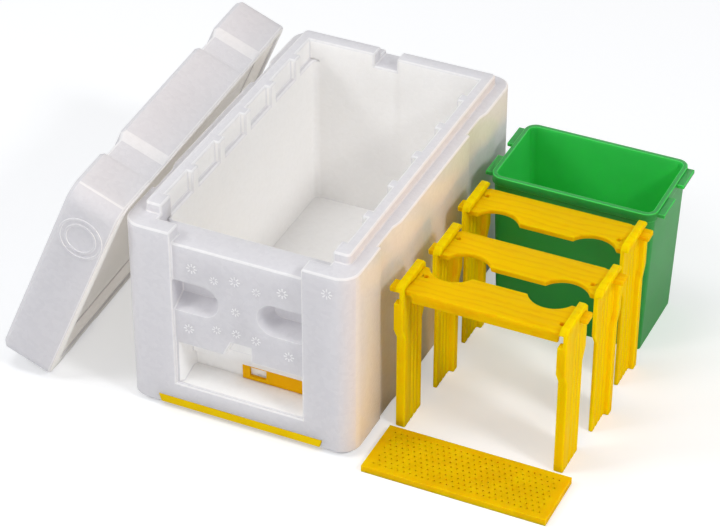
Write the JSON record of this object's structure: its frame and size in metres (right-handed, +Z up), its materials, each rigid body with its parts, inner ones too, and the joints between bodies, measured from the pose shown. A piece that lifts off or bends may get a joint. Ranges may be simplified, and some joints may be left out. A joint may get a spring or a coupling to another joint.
{
  "type": "mating nuc box",
  "caption": "Small foam bee mating box with toothed frame ledge, sliding entrance gate and floor slide, open, its lid leaning on it and its frames, feeder tub and vent plate standing beside it.",
  "frame": {"origin": "middle of the foam box's underside", "axes": "+Z up, -Y out of the box's front with the porch, +X to the right seen from the front"},
  "size_m": [0.3714, 0.2511, 0.1503],
  "materials": {
    "foam": "expanded bead foam, matt, fine bead texture",
    "yellow_plastic": "moulded yellow plastic, satin",
    "green_plastic": "moulded green plastic, glossy"
  },
  "bodies": {
    "hive_body": {"hive_body": "foam"},
    "lid": {"roof_lid": "foam"},
    "floor_slide": {"floor_slide": "yellow_plastic"},
    "entrance_gate": {"entrance_gate": "yellow_plastic"},
    "vent_plate": {"vent_plate": "yellow_plastic"},
    "feeder": {"feeder": "green_plastic"},
    "frame_1": {"frame_1_top_bar": "yellow_plastic", "frame_1_left_side_bar": "yellow_plastic", "frame_1_right_side_bar": "yellow_plastic"},
    "frame_2": {"frame_2_top_bar": "yellow_plastic", "frame_2_left_side_bar": "yellow_plastic", "frame_2_right_side_bar": "yellow_plastic"},
    "frame_3": {"frame_3_top_bar": "yellow_plastic", "frame_3_left_side_bar": "yellow_plastic", "frame_3_right_side_bar": "yellow_plastic"}
  },
  "joints": [
    {"name": "gate_slide", "type": "slide", "parent": "hive_body", "child": "entrance_gate", "axis": [-1, 0, 0], "range_m": [0, 0.032]},
    {"name": "floor_slide_pull", "type": "slide", "parent": "hive_body", "child": "floor_slide", "axis": [0, -1, 0], "range_m": [0, 0.1]},
    {"name": "lid_lift", "type": "slide", "parent": "hive_body", "child": "lid", "axis": [0, 0, 1], "range_m": [0, 0.16]},
    {"name": "vent_plate_lift", "type": "slide", "parent": "hive_body", "child": "vent_plate", "axis": [0, 0, 1], "range_m": [0, 0.16]},
    {"name": "feeder_lift", "type": "slide", "parent": "hive_body", "child": "feeder", "axis": [0, 0, 1], "range_m": [0, 0.16]},
    {"name": "frame_1_lift", "type": "slide", "parent": "hive_body", "child": "frame_1", "axis": [0, 0, 1], "range_m": [0, 0.16]},
    {"name": "frame_2_lift", "type": "slide", "parent": "hive_body", "child": "frame_2", "axis": [0, 0, 1], "range_m": [0, 0.16]},
    {"name": "frame_3_lift", "type": "slide", "parent": "hive_body", "child": "frame_3", "axis": [0, 0, 1], "range_m": [0, 0.16]}
  ]
}
